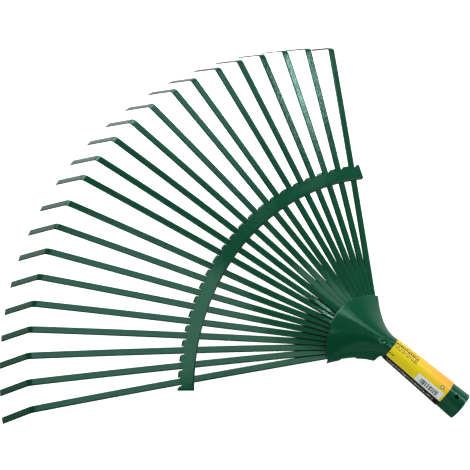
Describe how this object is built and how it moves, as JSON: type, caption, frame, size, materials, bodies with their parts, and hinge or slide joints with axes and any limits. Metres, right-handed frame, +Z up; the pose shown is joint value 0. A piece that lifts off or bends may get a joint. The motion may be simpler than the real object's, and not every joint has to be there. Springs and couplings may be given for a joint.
{
  "type": "leaf rake head",
  "caption": "Leaf rake head: a fan of flat spring-steel tines with bent tips, held by a folded spacer bar and a pressed hub that rolls into a handle socket.",
  "frame": {"origin": "middle of the underside of the bounding box, on the surface the head stands on with its tips down", "axes": "+X along the middle of the fan, from the handle socket to the tips; +Y across the fan; +Z up"},
  "size_m": [0.4624, 0.5248, 0.0952],
  "materials": {
    "green_enamel": "gloss stoving enamel",
    "printed_label": "printed glossy paper"
  },
  "bodies": {
    "root": {"tine_01": "green_enamel", "tine_02": "green_enamel", "tine_03": "green_enamel", "tine_04": "green_enamel", "tine_05": "green_enamel", "tine_06": "green_enamel", "tine_07": "green_enamel", "tine_08": "green_enamel", "tine_09": "green_enamel", "tine_10": "green_enamel", "tine_11": "green_enamel", "tine_12": "green_enamel", "tine_13": "green_enamel", "tine_14": "green_enamel", "tine_15": "green_enamel", "tine_16": "green_enamel", "tine_17": "green_enamel", "tine_18": "green_enamel", "tine_19": "green_enamel", "tine_20": "green_enamel", "tine_21": "green_enamel", "tine_22": "green_enamel", "hub_shell": "green_enamel", "hub_plate": "green_enamel", "spacer_bar": "green_enamel", "label_sleeve": "printed_label"}
  },
  "joints": []
}
